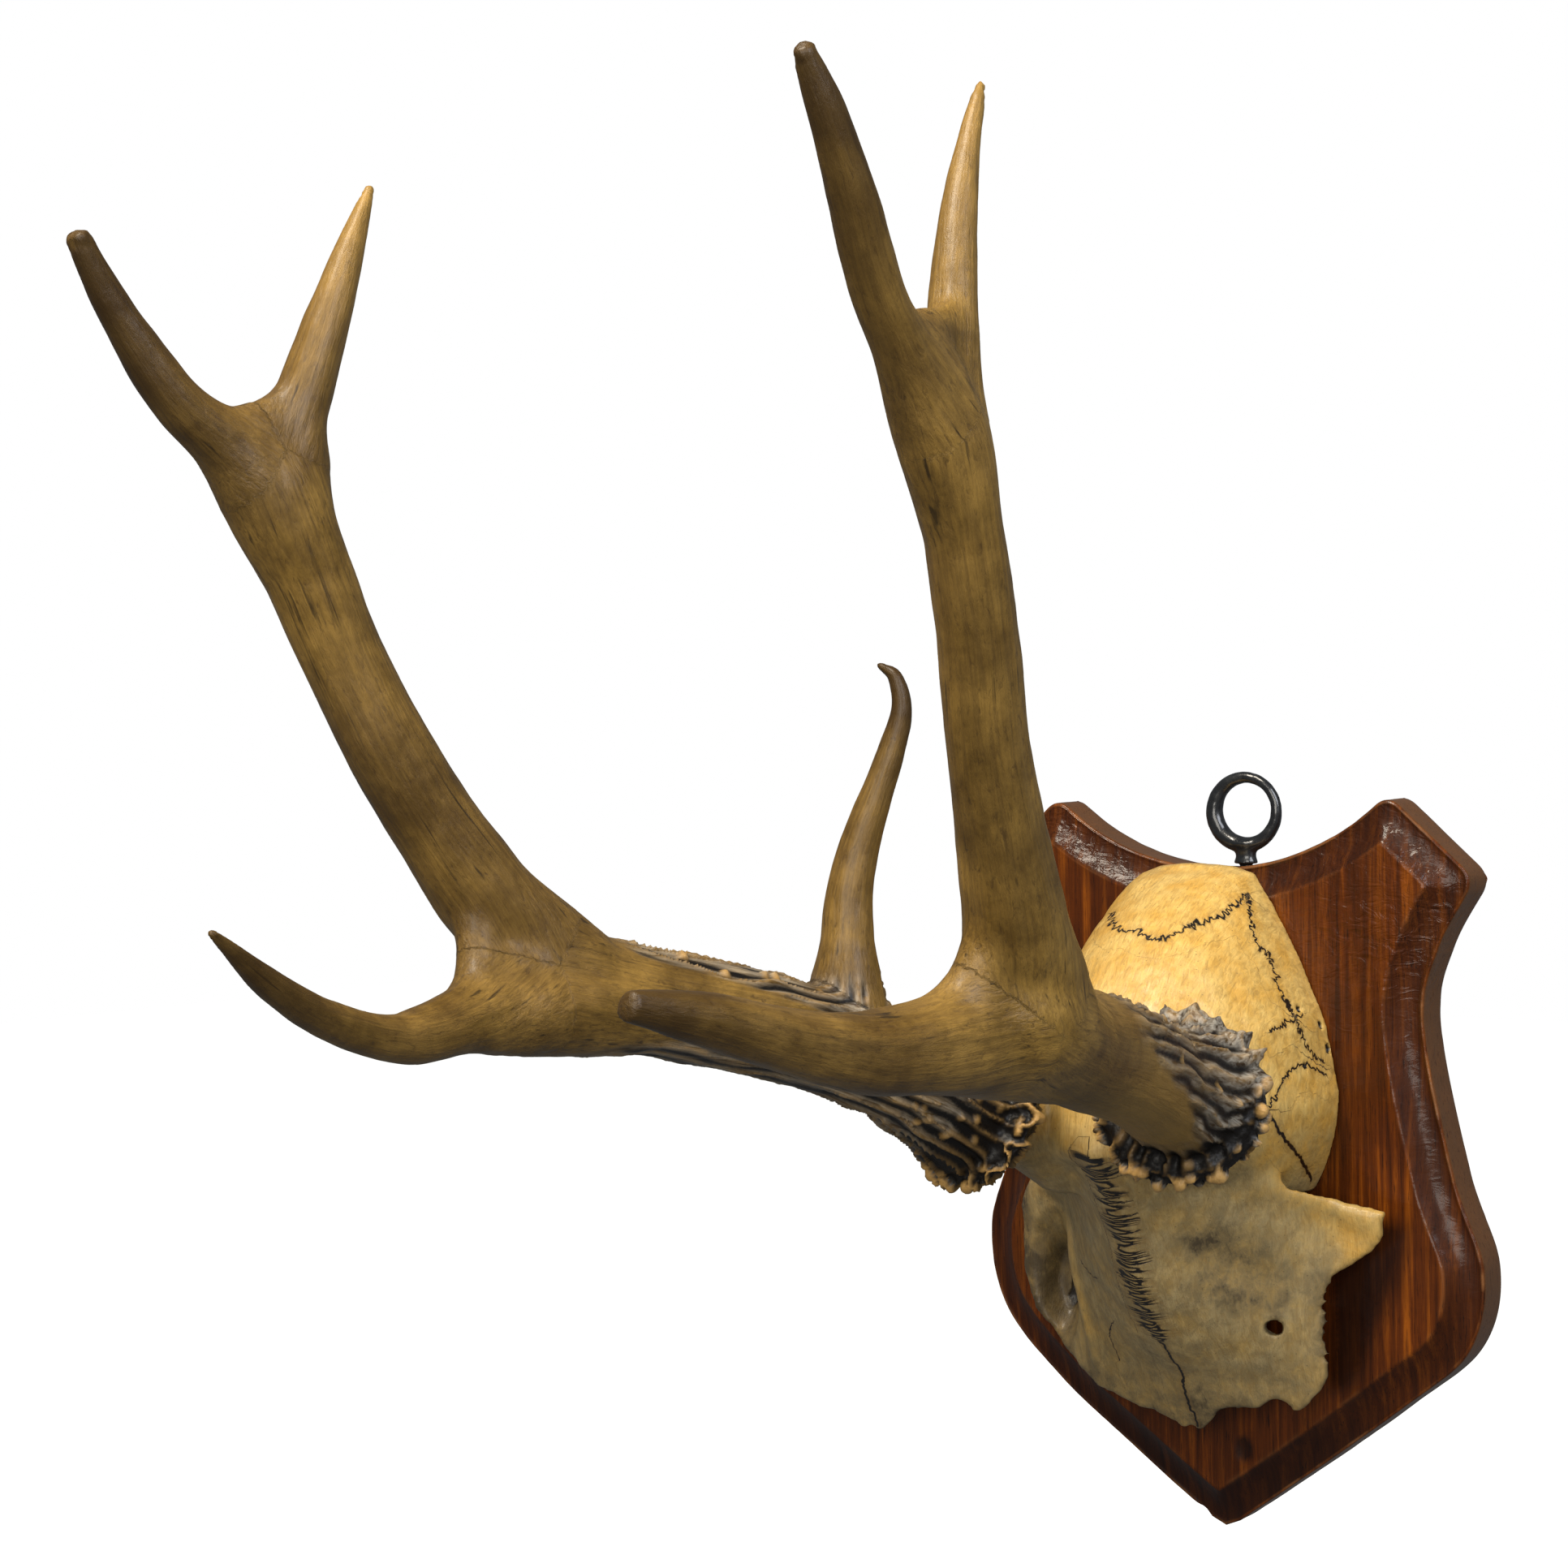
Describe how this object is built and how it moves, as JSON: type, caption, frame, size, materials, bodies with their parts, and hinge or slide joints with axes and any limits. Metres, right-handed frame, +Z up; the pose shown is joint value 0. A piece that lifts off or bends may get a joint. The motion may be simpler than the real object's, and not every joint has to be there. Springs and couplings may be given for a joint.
{
  "type": "antler mounting plaque",
  "caption": "Shield-shaped wooden plaque with a hollowed border, a skull cap with branched antlers standing out from it, and a hanging ring on top.",
  "frame": {"origin": "on the board's flat wall face, on the shield's centre line, level with the frontal plate's brow", "axes": "+X to the viewer's right, -Y out of the wall towards the viewer, +Z up the wall"},
  "size_m": [0.2519, 0.4435, 0.4575],
  "materials": {
    "varnished_wood": "dark stained and varnished by brush",
    "bone_and_antler": "bare bone and antler with a worn sheen",
    "blackened_iron": "black glossy enamel"
  },
  "bodies": {
    "root": {"shield_board": "varnished_wood", "skull_with_antlers": "bone_and_antler", "hanging_eye": "blackened_iron"}
  },
  "joints": []
}
